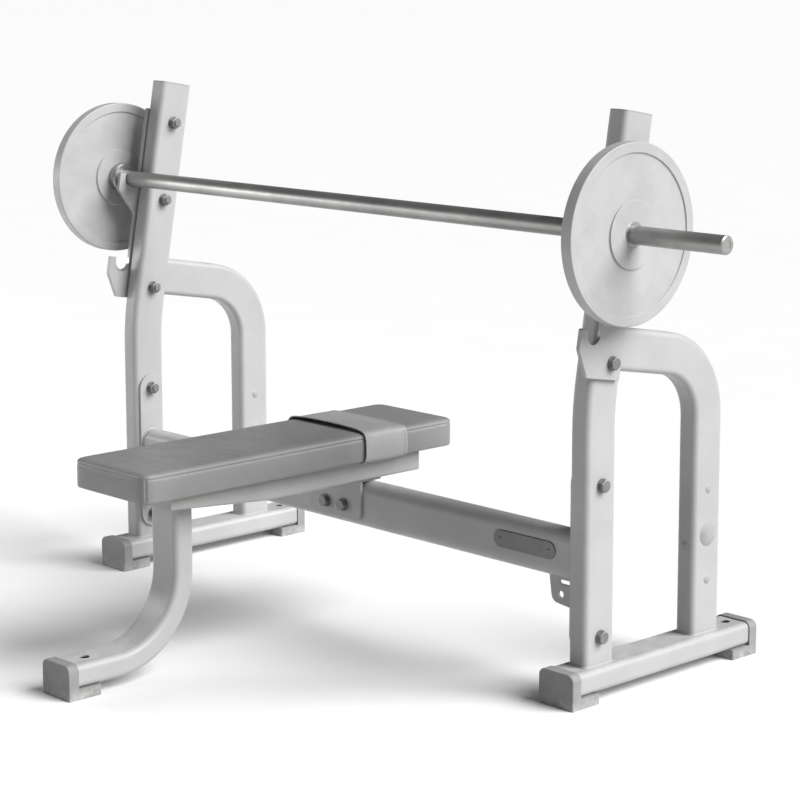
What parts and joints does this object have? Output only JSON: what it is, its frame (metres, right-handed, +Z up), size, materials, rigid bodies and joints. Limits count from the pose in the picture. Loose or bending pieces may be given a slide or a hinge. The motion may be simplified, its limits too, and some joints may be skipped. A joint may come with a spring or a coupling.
{
  "type": "olympic bench press",
  "caption": "Flat bench between two leaning uprights joined by a crossbeam, with stepped bar hooks, rear loop legs, rubber feet and a barbell resting in the upper hooks.",
  "frame": {"origin": "on the floor, in the mid-plane of the bench, half way along its depth", "axes": "+X to the right side frame and along the barbell, +Y to the head end behind the uprights, +Z up"},
  "size_m": [2.2, 1.304, 1.2175],
  "materials": {
    "frame_paint": "pale grey powder coat, satin",
    "hook_paint": "pale grey powder coat, satin",
    "rail_paint": "pale grey powder coat, satin",
    "name_plate": "brushed, blank",
    "fastener_steel": "zinc plated",
    "cap_plastic": "fine moulded grain",
    "foot_rubber": "grey moulded rubber",
    "pad_board": "raw plywood",
    "pad_vinyl": "grey upholstery vinyl, fine grain",
    "wrap_vinyl": "grey heavy vinyl, coarser grain",
    "bar_steel": "dark phosphate, satin",
    "collar_steel": "turned steel",
    "weight_iron": "pale grey enamelled casting",
    "bush_steel": "machined"
  },
  "bodies": {
    "frame": {"left_base_tube": "frame_paint", "right_base_tube": "frame_paint", "left_upright": "frame_paint", "right_upright": "frame_paint", "left_upright_cap": "cap_plastic", "right_upright_cap": "cap_plastic", "left_rear_leg": "frame_paint", "right_rear_leg": "frame_paint", "left_hook_plate": "hook_paint", "right_hook_plate": "hook_paint", "crossbeam": "frame_paint", "left_beam_end_plate": "frame_paint", "right_beam_end_plate": "frame_paint", "left_accessory_plate": "frame_paint", "right_accessory_plate": "frame_paint", "name_plate": "name_plate", "name_plate_rivets": "fastener_steel", "hook_bolts": "fastener_steel", "hook_washers": "fastener_steel", "hook_nuts": "fastener_steel", "beam_bolts": "fastener_steel", "beam_washers": "fastener_steel", "beam_nuts": "fastener_steel", "small_leg_plugs": "cap_plastic", "large_leg_plugs": "cap_plastic", "left_front_foot": "foot_rubber", "right_front_foot": "foot_rubber", "left_rear_foot": "foot_rubber", "right_rear_foot": "foot_rubber", "front_leg_foot": "foot_rubber", "foot_screws": "fastener_steel", "pad_rail": "rail_paint", "beam_bracket": "rail_paint", "front_leg": "frame_paint", "bracket_bolts": "fastener_steel", "bracket_washers": "fastener_steel", "bracket_weld_nuts": "fastener_steel", "pad_board": "pad_board", "pad_cushion": "pad_vinyl", "pad_wrap": "wrap_vinyl", "pad_screws": "fastener_steel", "pad_screw_washers": "fastener_steel"},
    "barbell": {"bar": "bar_steel", "left_bar_collar": "collar_steel", "right_bar_collar": "collar_steel"},
    "left_weight": {"left_weight_plate": "weight_iron", "left_plate_bush": "bush_steel"},
    "right_weight": {"right_weight_plate": "weight_iron", "right_plate_bush": "bush_steel"}
  },
  "joints": [
    {"name": "barbell_lift", "type": "slide", "parent": "frame", "child": "barbell", "axis": [0, 0.1736, 0.9848], "range_m": [0, 0.3]},
    {"name": "left_plate_slide", "type": "slide", "parent": "barbell", "child": "left_weight", "axis": [-1, 0, 0], "range_m": [0, 0.22]},
    {"name": "right_plate_slide", "type": "slide", "parent": "barbell", "child": "right_weight", "axis": [1, 0, 0], "range_m": [0, 0.22]}
  ]
}
